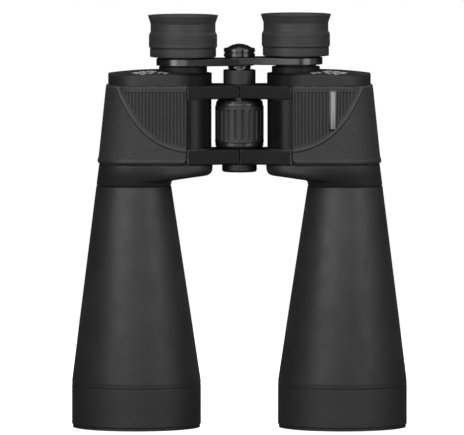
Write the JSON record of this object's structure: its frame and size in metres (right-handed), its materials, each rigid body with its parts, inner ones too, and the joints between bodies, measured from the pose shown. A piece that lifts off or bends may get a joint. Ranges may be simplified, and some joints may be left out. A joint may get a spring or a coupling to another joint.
{
  "type": "astronomy binoculars",
  "caption": "Large Porro-prism binoculars with conical objective tubes, ribbed rubber armour, a central focus wheel and bridge, and soft flared eyecups.",
  "frame": {"origin": "where the hinge axle's axis meets the plane of the objective rims that it stands on", "axes": "+Z along the hinge axle from the objectives to the eyepieces; -Y is the side that faces up in use; +X is the user's left"},
  "size_m": [0.2076, 0.08, 0.256],
  "materials": {
    "barrel_paint": "satin black paint on aluminium tube",
    "casting_paint": "fine-textured black paint on cast aluminium",
    "armour_rubber": "grained matt black rubber",
    "grip_rubber": "ribbed matt black rubber",
    "eyecup_rubber": "soft matt dark grey rubber",
    "anodised": "satin black anodised",
    "wheel_gloss": "gloss black moulding",
    "baffle_black": "dead matt black",
    "steel": "ground steel",
    "spring_steel": "bright spring steel",
    "screw_black": "blackened steel",
    "nylon": "natural nylon",
    "coated_glass": "multi-coated polished glass",
    "prism_glass": "polished prism glass",
    "brass_plug": "turned brass"
  },
  "bodies": {
    "hinge": {"hinge_axle": "steel", "axle_collar": "anodised", "hinge_washers": "nylon", "tripod_socket": "brass_plug"},
    "right_half": {"objective_tube_right": "barrel_paint", "objective_ring_right": "barrel_paint", "objective_cell_right": "baffle_black", "objective_crown_lens_right": "coated_glass", "objective_flint_lens_right": "coated_glass", "objective_retainer_right": "baffle_black", "lower_cover_right": "casting_paint", "prism_housing_right": "casting_paint", "armour_right": "armour_rubber", "top_cover_right": "casting_paint", "cover_screws_right": "screw_black", "prism_shelf_right": "baffle_black", "prism_upper_right": "prism_glass", "prism_lower_right": "prism_glass", "prism_clips_right": "spring_steel", "eyepiece_guide_right": "anodised"},
    "left_half": {"objective_tube_left": "barrel_paint", "objective_ring_left": "barrel_paint", "objective_cell_left": "baffle_black", "objective_crown_lens_left": "coated_glass", "objective_flint_lens_left": "coated_glass", "objective_retainer_left": "baffle_black", "lower_cover_left": "casting_paint", "prism_housing_left": "casting_paint", "armour_left": "armour_rubber", "top_cover_left": "casting_paint", "cover_screws_left": "screw_black", "prism_shelf_left": "baffle_black", "prism_upper_left": "prism_glass", "prism_lower_left": "prism_glass", "prism_clips_left": "spring_steel", "eyepiece_guide_left": "anodised"},
    "focus_wheel": {"focus_wheel": "wheel_gloss", "focus_grip": "grip_rubber"},
    "focus_carriage": {"focus_spindle": "steel", "drive_pin": "steel", "bridge_hub": "anodised", "bridge_cap": "wheel_gloss"},
    "right_eyepiece": {"bridge_arm_right": "casting_paint", "eyepiece_barrel_right": "anodised"},
    "left_eyepiece": {"bridge_arm_left": "casting_paint", "eyepiece_barrel_left": "anodised", "ocular_ring_left": "eyecup_rubber", "ocular_body_left": "baffle_black", "field_lens_left": "coated_glass", "eye_lens_left": "coated_glass", "lens_rings_left": "baffle_black", "eyecup_left": "eyecup_rubber"},
    "right_ocular": {"ocular_body_right": "baffle_black", "field_lens_right": "coated_glass", "eye_lens_right": "coated_glass", "lens_rings_right": "baffle_black", "eyecup_right": "eyecup_rubber"},
    "dioptre": {"dioptre_ring": "eyecup_rubber"},
    "tripod_cap": {"tripod_cap": "casting_paint"}
  },
  "joints": [
    {"name": "right_fold", "type": "hinge", "parent": "hinge", "child": "right_half", "pos_m": [0, 0, 0.188], "axis": [0, 0, -1], "range_deg": [0, 36.5]},
    {"name": "left_fold", "type": "hinge", "parent": "hinge", "child": "left_half", "pos_m": [0, 0, 0.188], "axis": [0, 0, 1], "range_deg": [0, 36.5]},
    {"name": "wheel_turn", "type": "hinge", "parent": "hinge", "child": "focus_wheel", "pos_m": [0, 0, 0.188], "axis": [0, 0, 1], "range_deg": [0, 300.1]},
    {"name": "focus_travel", "type": "slide", "parent": "hinge", "child": "focus_carriage", "axis": [0, 0, 1], "range_m": [0, 0.01]},
    {"name": "right_bridge_fold", "type": "hinge", "parent": "focus_carriage", "child": "right_eyepiece", "pos_m": [0, 0, 0.2267], "axis": [0, 0, -1], "range_deg": [0, 36.5]},
    {"name": "left_bridge_fold", "type": "hinge", "parent": "focus_carriage", "child": "left_eyepiece", "pos_m": [0, 0, 0.2267], "axis": [0, 0, 1], "range_deg": [0, 36.5]},
    {"name": "dioptre_turn", "type": "hinge", "parent": "right_ocular", "child": "dioptre", "pos_m": [-0.0349, 0, 0.2327], "axis": [0, 0, 1], "range_deg": [-60.1, 60.1]},
    {"name": "dioptre_lift", "type": "slide", "parent": "right_eyepiece", "child": "right_ocular", "axis": [0, 0, 1], "range_m": [-0.0008, 0.0008]},
    {"name": "cap_unscrew", "type": "slide", "parent": "hinge", "child": "tripod_cap", "axis": [0, 0, -1], "range_m": [0, 0.05]}
  ],
  "couplings": [
    {"joint": "left_fold", "follows": "right_fold", "ratio": 1},
    {"joint": "right_bridge_fold", "follows": "right_fold", "ratio": 1},
    {"joint": "left_bridge_fold", "follows": "right_fold", "ratio": 1},
    {"joint": "wheel_turn", "follows": "focus_travel", "rad_per_m": 523.6},
    {"joint": "dioptre_turn", "follows": "dioptre_lift", "rad_per_m": 1309}
  ]
}
